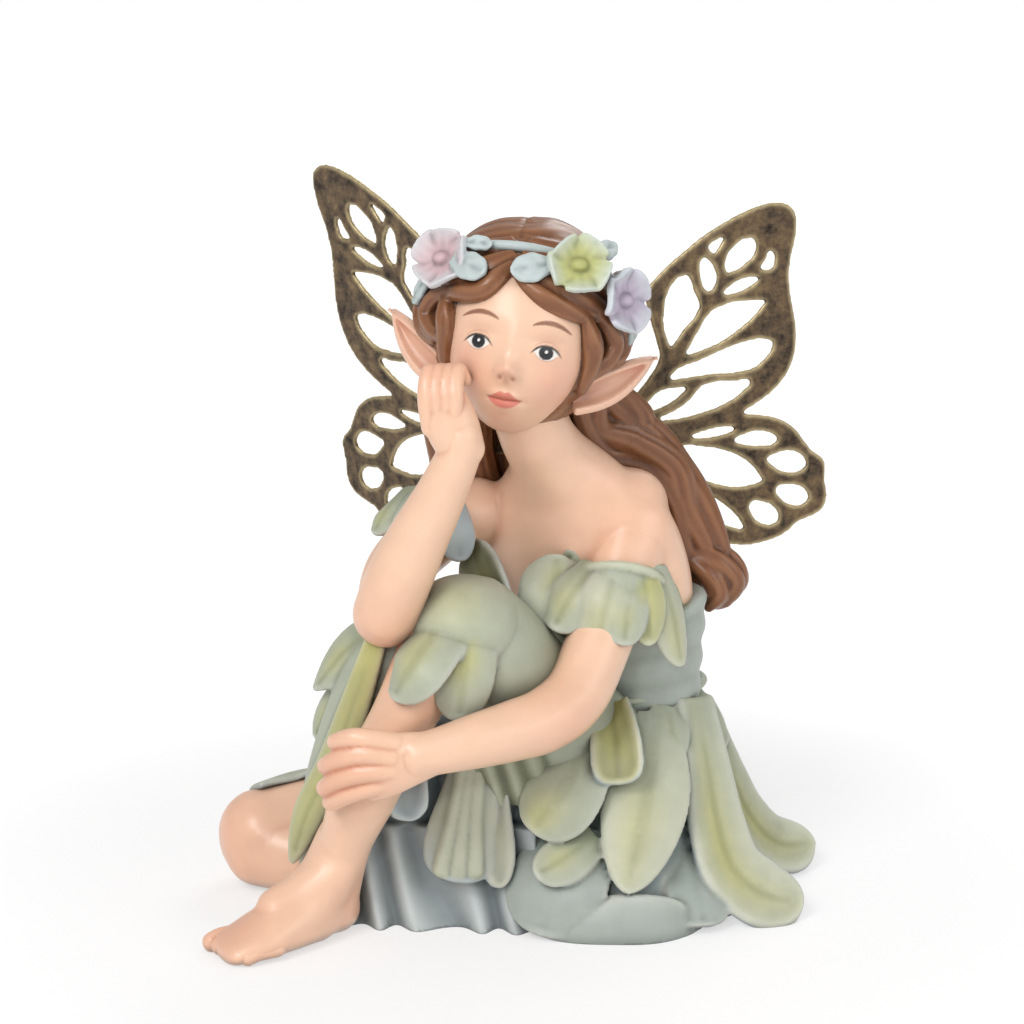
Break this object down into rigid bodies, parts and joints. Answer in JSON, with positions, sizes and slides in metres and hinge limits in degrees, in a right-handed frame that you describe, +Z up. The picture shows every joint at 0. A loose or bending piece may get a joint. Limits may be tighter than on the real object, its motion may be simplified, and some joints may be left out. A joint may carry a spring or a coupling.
{
  "type": "fairy figurine",
  "caption": "Seated resin garden fairy with flower garland, petal dress and pierced metal wings, resting on its flat base.",
  "frame": {"origin": "on the flat underside of the skirt, below the clasping arm, at floor level", "axes": "+Z up from the surface it stands on, -Y towards the side she faces, +X to the viewer's right"},
  "size_m": [0.1583, 0.114, 0.1813],
  "materials": {
    "painted_resin": "cast resin, hand painted, satin",
    "aged_brass": "pressed plate, antique brass with dark patina",
    "skin_paint": "satin paint with airbrushed blush",
    "hair_paint": "satin brown paint, lighter on the ridges",
    "dress_paint": "matt grey-green paint with yellow-green airbrushing",
    "flower_paint": "matt pastel paint",
    "eye_paint": "gloss paint"
  },
  "bodies": {
    "root": {"resin_figure": "painted_resin", "wing_left": "aged_brass", "wing_right": "aged_brass"}
  },
  "joints": []
}
